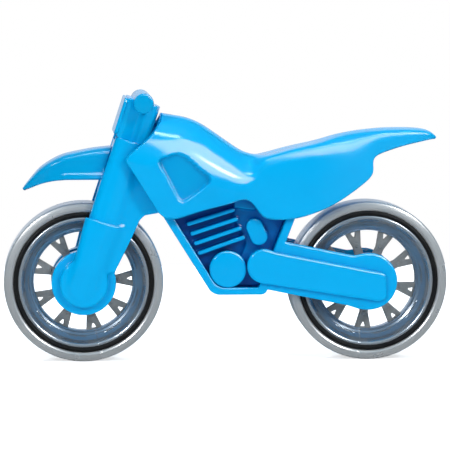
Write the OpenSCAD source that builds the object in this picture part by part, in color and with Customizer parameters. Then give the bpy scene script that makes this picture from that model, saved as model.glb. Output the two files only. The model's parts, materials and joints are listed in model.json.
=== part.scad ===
// Free-rolling toy motocross motorcycle.
// Frame: +X towards the tail, -Y is the rider's left, +Z up.
// Origin: on the ground, midway along the body, on the centre plane.

/* [Wheels] */
// Outer radius of both wheels
wheel_r = 44; // [42:0.5:44.5]
// Distance between the two axles
wheel_base = 157.6; // [156:0.2:160]
// Width of the tyre over its side walls
tyre_w = 24; // [20:0.5:24.4]
// Radius of the open window that the spokes cross
rim_open_r = 27.5; // [24:0.5:29]
// Number of forked spokes in each wheel
spokes = 9; // [5:1:10]
// Radius of the wheel axles
axle_r = 2; // [1.5:0.1:2.5]

/* [Fork] */
// Lean of the fork and of the steering axis from the vertical, in degrees
rake = 17.9; // [17.5:0.1:18.3]
// Steering axis behind the fork legs' own centre line
stem_back = 3.4; // [3:0.1:3.6]
// Half depth of a fork leg, front to back
leg_h = 7.8; // [6.5:0.1:8]
// Radius of the steering pin
pin_r = 2.5; // [2:0.1:3]

/* [Body] */
// Wall thickness of the cowl
cowl_t = 1.9; // [1.6:0.1:2.2]
// Half width of the lower frame over its rims
frame_h = 16.5; // [15:0.5:17]
// Wall thickness of the front mudguard
guard_t = 1.8; // [1.5:0.1:2.2]

/* [Handlebar] */
// Full length of the handlebar
bar_w = 54; // [50:1:60]
// Radius of the handlebar
bar_r = 5.5; // [4.5:0.1:5.6]

/* [Hidden] */
$fn = 96;
blue = [0.03, 0.60, 0.93];
front_x = -wheel_base / 2;
rear_x = wheel_base / 2;
run = 0.05;      // radial clearance of a running fit
press = 0.02;    // radial interference of a press fit
hub_h = 5.5;     // half width of a wheel hub
drum_in = 6;     // inner face of the fork and swingarm bosses
leg_in = 13;     // inner face of the fork legs and swingarms

// ---- helpers -------------------------------------------------------------

// a plate on the left side, drawn in X and Z, from depth a to depth b
module slab(a, b) rotate([90, 0, 0]) translate([0, 0, a]) linear_extrude(b - a) children();

// the same plate on the right side
module other_side() mirror([0, 1, 0]) children();

// fork coordinates: local Z runs up the fork from the front axle, local X to the rear
module fork_frame() translate([front_x, 0, wheel_r]) rotate([0, rake, 0]) children();

// a plate on the left of the fork, drawn along and across the fork
module fork_slab(a, b) fork_frame() slab(a, b) children();

// rectangle with round corners
module rrect(x0, y0, x1, y1, r) {
  translate([x0 + r, y0]) square([x1 - x0 - 2 * r, y1 - y0]);
  translate([x0, y0 + r]) square([x1 - x0, y1 - y0 - 2 * r]);
  for (x = [x0 + r, x1 - r], y = [y0 + r, y1 - r]) translate([x, y]) circle(r);
}

// straight bar with round ends, from p to q, n facets on each end
module bar2(p, q, r, n = 8) {
  a = atan2(q[1] - p[1], q[0] - p[0]);
  polygon(concat([for (i = [0:n]) q + r * [cos(a - 90 + 180 / n * i), sin(a - 90 + 180 / n * i)]],
    [for (i = [0:n]) p + r * [cos(a + 90 + 180 / n * i), sin(a + 90 + 180 / n * i)]]));
}

// disc on the left side at x, z from depth a to depth b with a chamfered face
module cap(x, z, r, a, b, c) translate([x, 0, z]) rotate([90, 0, 0]) {
  translate([0, 0, a]) cylinder(r = r, h = b - a - c);
  translate([0, 0, b - c]) cylinder(r1 = r, r2 = r - c, h = c);
}

function lerp(a, b, t) = a + (b - a) * t;
// Catmull-Rom value between v[i] and v[i+1]
function cr(a, b, c, d, t) = 0.5 * ((2 * b) + (c - a) * t + (2 * a - 5 * b + 4 * c - d) * t * t
  + (3 * b - a - 3 * c + d) * t * t * t);
function at(v, i) = v[max(0, min(len(v) - 1, i))];
function smooth_row(v, i, t) = cr(at(v, i - 1), at(v, i), at(v, i + 1), at(v, i + 2), t);

// ---- shells lofted through sections ---------------------------------------

// Each section row: top x, top z, widest x, widest z, widest half width,
// bottom x, bottom z, bottom half width, boxiness of the shoulder.
cowl_rows = [
  [-35.2, 136.6, -57,   113.5, 24.5, -38,   83.5, 24.4, 0.60],
  [-29,   135.9, -50,   112,   25.4, -33.5, 79.8, 24.2, 0.60],
  [-21.5, 134.4, -41,   110,   26,   -28,   79.8, 23.8, 0.60],
  [-14,   131.3, -30,   108,   26,   -15,   83.8, 23.3, 0.60],
  [-6,    126.1, -19,   106,   25.5, -6,    86,   22.8, 0.62],
  [2,     120.5, -8,    104,   24.5, 2,     88,   22.4, 0.64],
  [9,     116,   2,     102,   23,   8,     90.1, 21.8, 0.66],
  [14.5,  114.1, 10,    100,   22,   12,    89.5, 21.3, 0.68],
  [18.5,  113.7, 16,    99,    21.5, 15.3,  86.3, 20.9, 0.70],
  [22.5,  114,   20.5,  98.5,  21,   18.5,  81.5, 20.5, 0.72],
  [27,    115.2, 26,    98.5,  20.7, 22,    79,   20.2, 0.73],
  [34,    117.1, 33.5,  99,    20.5, 31,    78.6, 20,   0.74],
  [42,    119,   42,    100,   20.2, 40,    79.7, 19.8, 0.75],
  [50,    120.8, 50.5,  102,   20,   49,    82.4, 19.4, 0.76],
  [57,    123,   58.5,  105,   19.5, 58,    86.2, 18.9, 0.78],
  [63,    124.9, 65.5,  109,   19,   67,    91.7, 18.2, 0.80],
  [69,    126.1, 71.5,  113,   18.3, 75,    97.6, 17.4, 0.82],
  [74,    126.9, 76,    116.5, 17.6, 80,    101.9, 16.9, 0.84],
  [78,    127.3, 79,    119,   17,   81.4,  105.3, 16.6, 0.85],
  [81,    127.6, 81.5,  120.5, 16.6, 80.4,  110.2, 16.3, 0.86],
  [84,    127.8, 84.2,  121.7, 16.3, 81.8,  113.2, 16,   0.87],
  [89,    128.1, 89,    122.9, 16,   88,    115.8, 15.7, 0.88],
  [97,    128.2, 97,    124,   15.4, 97,    118.7, 15.2, 0.88],
  [105,   128.1, 105,   124.8, 14.2, 105,   120.6, 14,   0.86],
  [111.5, 127.4, 111.5, 124.8, 12.2, 111,   121.8, 12,   0.80],
  [115.4, 125.8, 115.2, 124,   10,   114.8, 122.4, 9.8,  0.72],
  [117.2, 123.6, 117,   123.2, 8,    116.8, 122.7, 7.8,  0.60]
];
guard_rows = [
  [-112.4, 95.2,  -112,   94.9,  2.6,  -111.6, 94.4, 2.4,  0.60],
  [-110.6, 97.8,  -109.6, 96.6,  5,    -108.8, 95.4, 4.9,  0.70],
  [-107.2, 102,   -106,   99.6,  8,    -104.8, 97.2, 8,    0.80],
  [-102.6, 107,   -101.8, 103.6, 10.6, -101,   98.9, 10.8, 0.84],
  [-96.4,  111.2, -96,    107.4, 12.4, -96,    100.2, 12.9, 0.86],
  [-89.5,  114.4, -89.5,  110,   13.2, -89.5,  100.9, 14,   0.86],
  [-81,    116.3, -81,    111.6, 13.4, -81,    101, 14.4, 0.86],
  [-73,    117.8, -74,    112.6, 13.3, -75,    101, 14.4, 0.86],
  [-62.9,  118.9, -65,    113,   13,   -68,    101, 14,   0.86]
];

// point of a section at t = 0 (top centre), 1 (widest) and 2 (bottom edge)
function sec(r, t, w, bend) =
  let (dz = r[1] - r[3], k = r[8])
  t <= 1 ?
    let (f = 3 * (1 - t) * t * t * (1 - k) + t * t * t,
         y = 3 * (1 - t) * (1 - t) * t * k + 3 * (1 - t) * t * t + t * t * t)
    [lerp(r[0], r[2], pow(f, bend)), (r[4] - w) * y, r[1] - w - (dz - w) * f]
  :
    let (u = t - 1, s = u * u)
    [lerp(r[2], r[5], u), lerp(r[4], r[7], s) - w, lerp(r[3], r[6], u)];

// top x and z, and so on, halfway rows included
function dense(rows, n) = [for (i = [0:len(rows) - 2], j = [0:n - 1])
  [for (c = [0:8]) cr(at(rows, i - 1)[c], rows[i][c], rows[i + 1][c], at(rows, i + 2)[c], j / n)]];
function all_rows(rows, n) = concat(dense(rows, n), [rows[len(rows) - 1]]);

// closed shell through the rows; m points on each side of the top line
module shell(rows, n, m, w, bend) {
  R = all_rows(rows, n);
  a = len(R);
  b = 2 * m + 1;
  function side(j) = (j - m) / m * 2;
  function pt(i, j, t) = let (q = side(j), p = sec(R[i], abs(q), t, bend))
    [p[0], (q < 0 ? -1 : 1) * max(p[1], 0), p[2]];
  outer = [for (i = [0:a - 1], j = [0:b - 1]) pt(i, j, 0)];
  inner = [for (i = [0:a - 1], j = [0:b - 1])
    let (p = pt(i, j, w), last = R[a - 1][0]) [min(p[0], last - w), p[1], p[2]]];
  o = a * b;
  faces = concat(
    [for (i = [0:a - 2], j = [0:b - 2]) each
      [[i * b + j, (i + 1) * b + j, i * b + j + 1], [(i + 1) * b + j, (i + 1) * b + j + 1, i * b + j + 1]]],
    [for (i = [0:a - 2], j = [0:b - 2]) each
      [[o + i * b + j, o + i * b + j + 1, o + (i + 1) * b + j],
       [o + (i + 1) * b + j, o + i * b + j + 1, o + (i + 1) * b + j + 1]]],
    [for (i = [0:a - 2]) each
      [[i * b, o + i * b, (i + 1) * b], [(i + 1) * b, o + i * b, o + (i + 1) * b]]],
    [for (i = [0:a - 2]) let (e = b - 1) each
      [[i * b + e, (i + 1) * b + e, o + i * b + e], [(i + 1) * b + e, o + (i + 1) * b + e, o + i * b + e]]],
    [for (j = [0:b - 2]) each
      [[j, j + 1, o + j], [j + 1, o + j + 1, o + j]]],
    [for (j = [0:b - 2]) let (e = (a - 1) * b) each
      [[e + j, o + e + j, e + j + 1], [e + j + 1, o + e + j, o + e + j + 1]]]
  );
  polyhedron(points = concat(outer, inner), faces = faces, convexity = 6);
}

// ---- body -----------------------------------------------------------------

// tank, seat and tail in one thin shell, open underneath
module cowl() color(blue) shell(cowl_rows, 2, 10, cowl_t, 1.8);

// hidden centre rib with the steering head tube at its front and bosses between the cradle walls
module backbone() color(blue) {
  difference() {
    union() {
      slab(-1.5, 1.5) polygon([
        [-33, 86], [-24, 83.5], [-16, 70], [-8, 58], [18, 58], [25, 84], [42, 92], [64, 108], [62, 117],
        [46, 114], [30, 110.5], [18, 108.5], [6, 111.5], [-8, 119.5], [-18, 125], [-30, 127], [-34, 122]]);
      for (p = [[-12, 78], [14, 86], [12, 64]])
        translate([p[0], 0, p[1]]) rotate([90, 0, 0]) cylinder(r = 4, h = 15.9, center = true);
      fork_frame() {
        translate([stem_back, 0, 58]) cylinder(r = 6.5, h = 24);
        slab(-3.4, 3.4)
          polygon([[stem_back, 58.5], [20, 58.5], [27, 68], [24, 88], [15, 98], [9, 98], [9, 82], [stem_back, 81.9]]);
      }
    }
    fork_frame() {
      translate([stem_back, 0, 57]) cylinder(r = pin_r + run, h = 26);
      translate([stem_back, 0, 82]) cylinder(r = 9.5, h = 20);
    }
  }
}

// outline of the cradle: front upright, skid and rear upright
module cradle_outer() difference() {
  union() {
    polygon([[-34.9, 80.3], [-11.1, 42.3], [-9, 39.6], [-3.7, 37.1], [18.6, 37.1], [22.4, 39.6],
      [38.4, 81], [31, 84], [12, 95], [2, 93], [-22, 86], [-30.5, 80.3]]);
    translate([-3.6, 44.6]) circle(7.5);
  }
  translate([-20, 30]) square([12.2, 8]);
}
module cradle_inner() polygon([[-29.5, 80.3], [-9.4, 47.8], [-6.5, 43.8], [-0.9, 41.1], [17.6, 41.1],
  [33.6, 81], [30, 84], [12, 95.1], [2, 93.1], [-22, 86.1], [-29.5, 81]]);

module cradle() color(blue) {
  difference() {
    slab(0, frame_h) cradle_outer();
    slab(-1, frame_h + 1) cradle_inner();
  }
  slab(8, 10) intersection() { cradle_outer(); cradle_inner(); }
}
module cradle_left() cradle();
module cradle_right() other_side() cradle();

// cooling fins, carburettor boss and head pad on a thin panel
module engine() color(blue) {
  slab(10, 11) polygon([[-28.6, 80.3], [-8.9, 48.1], [-6, 44.2], [-0.7, 41.5], [17.3, 41.5],
    [33, 81], [30, 83.4], [12, 94.4], [2, 92.4], [-22, 85.4], [-28.6, 80.6]]);
  for (i = [0:3])
    slab(10.4, 14.2) bar2([-21 + 2 * i, 76.3 - 5.4 * i], [3.2 + 1.9 * i, 83.8 - 5.1 * i], 0.95);
  slab(10.4, 15) bar2([18, 68.9], [15.5, 74.5], 4.75, 20);
  slab(10.4, 12.2) polygon([[6, 85], [17, 83.5], [15, 92], [5, 91.5]]);
}
module engine_left() engine();
module engine_right() other_side() engine();

module clutch_cover() color(blue) cap(0.6, 51.3, 9.8, 11, 16.6, 0.8);
module clutch_cover_left() clutch_cover();
module clutch_cover_right() other_side() clutch_cover();

// arm from the cradle to the rear axle, with the axle boss inside
module swingarm() color(blue) difference() {
  union() {
    slab(leg_in, frame_h) {
      polygon([[33.3, 66.3], [72, 58], [rear_x, 57], [rear_x, 30], [73.5, 29.4], [23.1, 39.6]]);
      translate([rear_x, wheel_r]) circle(15.8);
    }
    translate([rear_x, 0, wheel_r]) rotate([90, 0, 0]) translate([0, 0, drum_in]) cylinder(r = 12, h = leg_in - drum_in);
  }
  translate([rear_x, 0, wheel_r]) rotate([90, 0, 0]) translate([0, 0, drum_in - 1]) cylinder(r = axle_r - press, h = 8);
}
module swingarm_left() swingarm();
module swingarm_right() other_side() swingarm();

// long raised cover over the arm, with its round front end seated on the engine panel
module chain_case() color(blue) {
  slab(frame_h, 19) {
    polygon([[19, 62.4], [86.4, 49], [88.4, 47], [88.4, 36.4], [84, 33], [19, 43.6]]);
    translate([20.6, 53]) circle(9.45);
  }
  slab(11, frame_h) intersection() {
    translate([20.6, 53]) circle(9.45);
    polygon([[8, 70], [8, 41.6], [17.2, 41.6], [28, 68]]);
  }
}
module chain_case_left() chain_case();
module chain_case_right() other_side() chain_case();

module rear_axle() color("silver")
  translate([rear_x, 0, wheel_r]) rotate([90, 0, 0]) cylinder(r = axle_r, h = 26, center = true);

// ---- fork -----------------------------------------------------------------

// leg, lower sleeve, rear web and axle drum of one side
module fork_side() color(blue) difference() {
  union() {
    // upper leg with round corners, and its tenon into the head
    fork_frame() translate([0, 0, 34]) linear_extrude(48.5) rrect(-leg_h, -20, leg_h, -leg_in, 3);
    fork_frame() translate([2.6, -15, 80]) cylinder(r = 2, h = 12);
    // lower sleeve
    fork_frame() linear_extrude(35.3) rrect(-9.9, -21.4, 9.9, -leg_in, 3);
    // web behind the leg
    fork_slab(14, 16.5) polygon([[0, 6], [14.2, 11.4], [17, 30], [18.9, 42.6], [20.6, 45.6], [27.2, 49.4],
      [26.8, 51.4], [9, 66], [6, 70], [0, 70]]);
    // boss and drum on the axle
    translate([front_x, 0, wheel_r]) rotate([90, 0, 0]) {
      translate([0, 0, drum_in]) cylinder(r = 17.8, h = 14.6 - drum_in);
      translate([0, 0, leg_in]) cylinder(r = 13.2, h = 5);
    }
  }
  translate([front_x, 0, wheel_r]) rotate([90, 0, 0]) translate([0, 0, drum_in - 1]) cylinder(r = axle_r - press, h = 8);
}
module fork_left() fork_side();
module fork_right() other_side() fork_side();

// bridge over the wheel that joins the two legs, with a front shield
module fork_crown() color(blue) difference() {
  fork_frame() {
    translate([-7.6, -leg_in, 50]) cube([17, 2 * leg_in, 7.5]);
    translate([-7.6, -leg_in, 50]) cube([3, 2 * leg_in, 30]);
  }
  fork_frame() translate([stem_back, 0, 49]) cylinder(r = pin_r - press, h = 10);
}

// collar over the leg tops, with the saddle for the handlebar
module steering_head() color(blue) difference() {
  fork_frame() translate([0, 0, 82.5]) linear_extrude(22.5) {
    polygon([[-7.7, -18.8], [-6.6, -18.8], [-5, -17.2], [-3, -16.2], [3.4, -18.2], [3.4, 18.2], [-3, 16.2],
      [-5, 17.2], [-6.6, 18.8], [-7.7, 18.8]]);
    for (s = [-1, 1]) translate([3.4, 10.6 * s]) circle(7.6);
    translate([3.4, -10.6]) square([7.6, 21.2]);
  }
  fork_frame() {
    translate([stem_back, 0, 80]) cylinder(r = pin_r - press, h = 18);
    for (s = [-1, 1]) translate([2.6, 15 * s, 80]) cylinder(r = 2, h = 12.5);
    translate([0.7, 0, 104.6]) rotate([90, 0, 0]) cylinder(r = bar_r, h = 60, center = true);
  }
}

module number_plate() color(blue) fork_frame() translate([-9.7, 0, 0]) rotate([90, 0, 90])
  linear_extrude(2) rrect(-19.5, 82, 19.5, 104.4, 2.5);

module handlebar() color(blue) fork_frame() translate([0.7, 0, 104.6]) rotate([90, 0, 0]) {
  cylinder(r = bar_r, h = bar_w - 1.6, center = true);
  for (s = [0, 1]) mirror([0, 0, s]) translate([0, 0, bar_w / 2 - 0.8]) cylinder(r1 = bar_r, r2 = bar_r - 0.8, h = 0.8);
}

// arched mudguard, open underneath
module front_fender() color(blue) shell(guard_rows, 2, 8, guard_t, 1);

module steering_pin() color("silver") fork_frame() translate([stem_back, 0, 51]) cylinder(r = pin_r, h = 46.5);

module front_axle() color("silver")
  translate([front_x, 0, wheel_r]) rotate([90, 0, 0]) cylinder(r = axle_r, h = 26, center = true);

// ---- wheels ---------------------------------------------------------------

module at_wheel(x) translate([x, 0, wheel_r]) rotate([90, 0, 0]) children();

// ring with a flat tread and round shoulders
module tyre() color([0.72, 0.72, 0.73]) let (h = tyre_w / 2, r = 2.6) rotate_extrude() {
  difference() {
    union() {
      translate([36, -9.4]) square([5, 18.8]);
      translate([38.8, -h]) square([wheel_r - r - 38.8, 2 * h]);
      translate([40, -h + r]) square([wheel_r - 40, 2 * h - 2 * r]);
      for (s = [-1, 1]) translate([wheel_r - r, s * (h - r)]) circle(r, $fn = 48);
    }
  }
}

// black ring between the tyre and the rim's lip
module bead() color([0.05, 0.05, 0.05]) rotate_extrude() polygon([[36, 9.4], [38.8, 9.4], [38.8, 11.7], [37.7, 11.7],
  [37.6, 11.3], [37.2, 11.3], [37.1, 11.7], [36, 11.5]]);

// half width of the rim's wall along the radius: lip, cone, step and window edge
rim_half = [[36, 0], [36, 11.4], [34.2, 11.4], [33.5, 10.4], [32.4, 7.2], [31.5, 7], [28.4, 3.6],
  [rim_open_r, 2.9], [rim_open_r, 0]];

// one spoke that forks near the rim, drawn along +X
module spoke() difference() {
  polygon([[6, -3.2], [14, -2.3], [19, -2.3], [rim_open_r + 0.6, -4.7], [rim_open_r + 0.6, 4.7], [19, 2.3], [14, 2.3], [6, 3.2]]);
  polygon([[23.2, 0], [rim_open_r + 1.2, -1.7], [rim_open_r + 1.2, 1.7]]);
}

// hub and spokes, cut to the round window of the rim
module spoke_set(phase) color([0.55, 0.55, 0.56]) difference() {
  union() {
    intersection() {
      translate([0, 0, -2]) linear_extrude(4) for (i = [0:spokes - 1]) rotate(phase + 360 / spokes * i) spoke();
      cylinder(r = rim_open_r, h = 10, center = true);
    }
    cylinder(r = 8, h = 2 * hub_h, center = true);
  }
  cylinder(r = axle_r + run, h = 20, center = true);
}

module rim() color([0.62, 0.62, 0.63]) rotate_extrude() {
  polygon(rim_half);
  mirror([0, 1]) polygon(rim_half);
}

module front_rim() at_wheel(front_x) rim();
module front_spokes() at_wheel(front_x) spoke_set(2.4);
module front_tyre() at_wheel(front_x) tyre();
module front_bead_left() at_wheel(front_x) bead();
module front_bead_right() at_wheel(front_x) mirror([0, 0, 1]) bead();
module rear_rim() at_wheel(rear_x) rim();
module rear_spokes() at_wheel(rear_x) spoke_set(26.3);
module rear_tyre() at_wheel(rear_x) tyre();
module rear_bead_left() at_wheel(rear_x) bead();
module rear_bead_right() at_wheel(rear_x) mirror([0, 0, 1]) bead();

cowl();
backbone();
cradle_left();
cradle_right();
engine_left();
engine_right();
clutch_cover_left();
clutch_cover_right();
swingarm_left();
swingarm_right();
chain_case_left();
chain_case_right();
rear_axle();
fork_left();
fork_right();
fork_crown();
steering_head();
number_plate();
handlebar();
front_fender();
steering_pin();
front_axle();
front_rim();
front_spokes();
front_tyre();
front_bead_left();
front_bead_right();
rear_rim();
rear_spokes();
rear_tyre();
rear_bead_left();
rear_bead_right();
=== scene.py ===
import bpy
import json
import math
import numpy as np
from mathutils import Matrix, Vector
from mathutils.geometry import tessellate_polygon

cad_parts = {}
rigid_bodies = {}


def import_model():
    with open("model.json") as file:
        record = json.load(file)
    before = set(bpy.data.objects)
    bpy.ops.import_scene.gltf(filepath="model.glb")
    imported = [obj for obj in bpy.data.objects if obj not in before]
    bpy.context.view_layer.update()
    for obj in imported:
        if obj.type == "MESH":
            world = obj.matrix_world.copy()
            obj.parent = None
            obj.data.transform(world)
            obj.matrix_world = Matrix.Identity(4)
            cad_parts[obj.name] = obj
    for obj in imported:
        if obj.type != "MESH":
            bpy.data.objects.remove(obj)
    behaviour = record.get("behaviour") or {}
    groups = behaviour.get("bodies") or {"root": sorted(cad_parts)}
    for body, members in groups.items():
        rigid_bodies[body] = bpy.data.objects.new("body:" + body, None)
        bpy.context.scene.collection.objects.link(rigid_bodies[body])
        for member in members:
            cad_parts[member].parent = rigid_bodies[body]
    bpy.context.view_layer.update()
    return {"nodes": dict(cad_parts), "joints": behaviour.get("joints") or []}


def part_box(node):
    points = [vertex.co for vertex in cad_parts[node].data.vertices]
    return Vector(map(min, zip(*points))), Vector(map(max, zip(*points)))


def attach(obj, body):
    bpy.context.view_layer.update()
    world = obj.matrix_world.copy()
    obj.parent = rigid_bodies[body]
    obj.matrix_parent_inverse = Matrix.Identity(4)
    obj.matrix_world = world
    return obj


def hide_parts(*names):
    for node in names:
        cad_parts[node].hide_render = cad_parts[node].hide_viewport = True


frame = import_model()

MM = 0.001


def mid(node):
    lo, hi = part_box(node)
    return (np.array(lo) + np.array(hi)) / 2 / MM


FRONT, REAR = mid("front_tyre"), mid("rear_tyre")
FX, RX, WZ = float(FRONT[0]), float(REAR[0]), float(FRONT[2])
STEER = [j for j in frame["joints"] if j["name"] == "steering"][0]
RAKE = math.atan2(STEER["axis"][0], STEER["axis"][2])
SR, CR = math.sin(RAKE), math.cos(RAKE)


# ---------------------------------------------------------------- shapes in 2D
def arc_outline(corners, seg=10):
    """Closed outline from (x, z, radius) corners."""
    out = []
    n = len(corners)
    for i in range(n):
        p = np.array(corners[i][:2], float)
        r = corners[i][2]
        a = np.array(corners[i - 1][:2], float) - p
        b = np.array(corners[(i + 1) % n][:2], float) - p
        la, lb = np.linalg.norm(a), np.linalg.norm(b)
        a, b = a / la, b / lb
        ang = math.acos(max(-1, min(1, float(a @ b))))
        if r < 1e-3 or abs(ang - math.pi) < 1e-3:
            out.append(p)
            continue
        t = min(r / math.tan(ang / 2), 0.49 * la, 0.49 * lb)
        r = t * math.tan(ang / 2)
        c = p + (a + b) / np.linalg.norm(a + b) * (r / math.sin(ang / 2))
        s, e = p + a * t - c, p + b * t - c
        a0, a1 = math.atan2(s[1], s[0]), math.atan2(e[1], e[0])
        d = (a1 - a0 + math.pi) % (2 * math.pi) - math.pi
        m = max(2, int(seg * abs(d) / (math.pi / 2)) + 1)
        for k in range(m + 1):
            q = a0 + d * k / m
            out.append(c + r * np.array([math.cos(q), math.sin(q)]))
    return np.array(out)


def poly_sd(P, x, z):
    """Signed distance to a closed polygon, negative inside."""
    x, z = np.broadcast_arrays(x, z)
    shape = x.shape
    q = np.stack([x.ravel(), z.ravel()], 1)
    best = np.full(len(q), 1e9)
    inside = np.zeros(len(q), bool)
    for i in range(len(P)):
        a, b = P[i], P[(i + 1) % len(P)]
        e = b - a
        L = float(e @ e)
        if L < 1e-12:
            continue
        w = q - a
        t = np.clip(w @ e / L, 0, 1)
        d = w - t[:, None] * e
        best = np.minimum(best, (d * d).sum(1))
        cross = e[0] * w[:, 1] - e[1] * w[:, 0]
        c = (a[1] <= q[:, 1]) != (b[1] <= q[:, 1])
        inside ^= c & ((cross > 0) == (b[1] > a[1]))
    return (np.where(inside, -1, 1) * np.sqrt(best)).reshape(shape)


def smin(a, b, k):
    h = np.clip(0.5 + 0.5 * (b - a) / k, 0, 1)
    return b + (a - b) * h - k * h * (1 - h)


def smax(a, b, k):
    return -smin(-a, -b, k)


def both(a, b, r):
    """Intersection with an edge rounded to radius r."""
    a, b = a + r, b + r
    return np.minimum(np.maximum(a, b), 0) + np.hypot(np.maximum(a, 0), np.maximum(b, 0)) - r


def ext(d2, t, t0, t1, r):
    return both(d2, np.maximum(t0 - t, t - t1), r)


def step(x, a, b):
    t = np.clip((x - a) / (b - a), 0, 1)
    return t * t * (3 - 2 * t)


# ------------------------------------------------------------------- meshing
def nets(field, lo, hi, h):
    """Surface of field == 0 on a grid, moved onto the exact surface."""
    lo = np.array(lo, float)
    n = np.ceil((np.array(hi) - lo) / h).astype(int) + 1
    ax = [lo[i] + h * np.arange(n[i]) for i in range(3)]
    f = field(ax[0][:, None, None], ax[1][None, :, None], ax[2][None, None, :])
    f = np.ascontiguousarray(np.broadcast_to(f, n))
    s = f < 0
    corner = [(a, b, c) for a in (0, 1) for b in (0, 1) for c in (0, 1)]
    cut = lambda g, o: g[o[0]:n[0] - 1 + o[0], o[1]:n[1] - 1 + o[1], o[2]:n[2] - 1 + o[2]]
    cnt = sum(cut(s, o).astype(np.int8) for o in corner)
    act = (cnt > 0) & (cnt < 8)
    idx = np.full(act.shape, -1)
    idx[act] = np.arange(int(act.sum()))
    base = np.argwhere(act)
    fv = [cut(f, o)[act] for o in corner]
    acc, num = np.zeros((len(base), 3)), np.zeros(len(base))
    for i, a in enumerate(corner):
        for j, b in enumerate(corner):
            if j <= i or sum(abs(a[k] - b[k]) for k in range(3)) != 1:
                continue
            m = (fv[i] < 0) != (fv[j] < 0)
            t = np.where(m, fv[i] / np.where(m, fv[i] - fv[j], 1), 0)
            acc += m[:, None] * (np.array(a) + t[:, None] * (np.array(b) - np.array(a)))
            num += m
    V = lo + h * (base + acc / num[:, None])
    Q = []
    a, b = s[:-1, 1:-1, 1:-1], s[1:, 1:-1, 1:-1]
    e = np.argwhere(a != b) + [0, 1, 1]
    o = [(0, -1, -1), (0, 0, -1), (0, 0, 0), (0, -1, 0)]
    q = np.stack([idx[tuple((e + k).T)] for k in o], 1)
    fwd = s[tuple(e.T)]
    Q.append(np.where(fwd[:, None], q, q[:, ::-1]))
    a, b = s[1:-1, :-1, 1:-1], s[1:-1, 1:, 1:-1]
    e = np.argwhere(a != b) + [1, 0, 1]
    o = [(-1, 0, -1), (-1, 0, 0), (0, 0, 0), (0, 0, -1)]
    q = np.stack([idx[tuple((e + k).T)] for k in o], 1)
    fwd = s[tuple(e.T)]
    Q.append(np.where(fwd[:, None], q, q[:, ::-1]))
    a, b = s[1:-1, 1:-1, :-1], s[1:-1, 1:-1, 1:]
    e = np.argwhere(a != b) + [1, 1, 0]
    o = [(-1, -1, 0), (0, -1, 0), (0, 0, 0), (-1, 0, 0)]
    q = np.stack([idx[tuple((e + k).T)] for k in o], 1)
    fwd = s[tuple(e.T)]
    Q.append(np.where(fwd[:, None], q, q[:, ::-1]))
    Q = np.concatenate(Q)
    for _ in range(3):
        g = slope(field, V)
        v = field(V[:, 0], V[:, 1], V[:, 2])
        move = -(v / np.maximum((g * g).sum(1), 0.3))[:, None] * g
        L = np.linalg.norm(move, axis=1, keepdims=True)
        V = V + move * np.minimum(1, 0.6 * h / np.maximum(L, 1e-9))
    return V, Q


def slope(field, P, e=0.03):
    g = np.zeros_like(P)
    for k in range(3):
        d = np.zeros(3)
        d[k] = e
        a, b = P + d, P - d
        g[:, k] = (field(a[:, 0], a[:, 1], a[:, 2]) - field(b[:, 0], b[:, 1], b[:, 2])) / (2 * e)
    return g


def object_from(name, V, F, body, nodes, mat):
    me = bpy.data.meshes.new(name)
    V = np.asarray(V, float) * MM
    F = F.tolist() if isinstance(F, np.ndarray) else [list(map(int, f)) for f in F]
    me.from_pydata(V.tolist(), [], F)
    me.update()
    me.polygons.foreach_set("use_smooth", [True] * len(me.polygons))
    me.materials.append(mat)
    ob = bpy.data.objects.new(name, me)
    bpy.context.scene.collection.objects.link(ob)
    if nodes:
        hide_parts(*nodes)
    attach(ob, body)
    return ob


def thin_out(ob, ratio):
    m = ob.modifiers.new("thin", "DECIMATE")
    m.ratio = ratio
    dg = bpy.context.evaluated_depsgraph_get()
    me = bpy.data.meshes.new_from_object(ob.evaluated_get(dg))
    ob.modifiers.remove(m)
    old = ob.data
    ob.data = me
    bpy.data.meshes.remove(old)
    me.name = ob.name


def moulded(name, field, lo, hi, h, to_world, from_world, body, nodes, mat, flip, ratio=0.35):
    """A moulded piece: the surface of a distance field, with normals from the field itself."""
    V, Q = nets(field, lo, hi, h)
    W = to_world(V)
    ob = object_from(name, W, Q[:, ::-1] if flip else Q, body, nodes, mat)
    thin_out(ob, ratio)
    me = ob.data
    co = np.zeros(len(me.vertices) * 3)
    me.vertices.foreach_get("co", co)
    P = from_world(co.reshape(-1, 3) / MM)
    g = slope(field, P, 0.06)
    L = np.linalg.norm(g, axis=1, keepdims=True)
    N = to_world(P + g / np.maximum(L, 1e-9)) - to_world(P)
    N /= np.maximum(np.linalg.norm(N, axis=1, keepdims=True), 1e-9)
    me.polygons.foreach_set("use_smooth", [True] * len(me.polygons))
    me.normals_split_custom_set_from_vertices(N.tolist())
    return ob


def side_maps(sign):
    """x, |y|, z coordinates of one side; sign -1 is the rider's left."""
    to = lambda P: np.stack([P[:, 0], sign * P[:, 1], P[:, 2]], 1)
    return to, to


def fork_maps(sign):
    """u across the fork, |y|, s up the fork from the axle."""
    to = lambda P: np.stack([FX + P[:, 0] * CR + P[:, 2] * SR, sign * P[:, 1], WZ - P[:, 0] * SR + P[:, 2] * CR], 1)
    back = lambda W: np.stack([(W[:, 0] - FX) * CR - (W[:, 2] - WZ) * SR, sign * W[:, 1], (W[:, 0] - FX) * SR + (W[:, 2] - WZ) * CR], 1)
    return to, back


def round_profile(points, seg=5):
    """Closed or open line of (r, y, radius) points with its corners rounded."""
    return arc_outline(points, seg)


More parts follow.
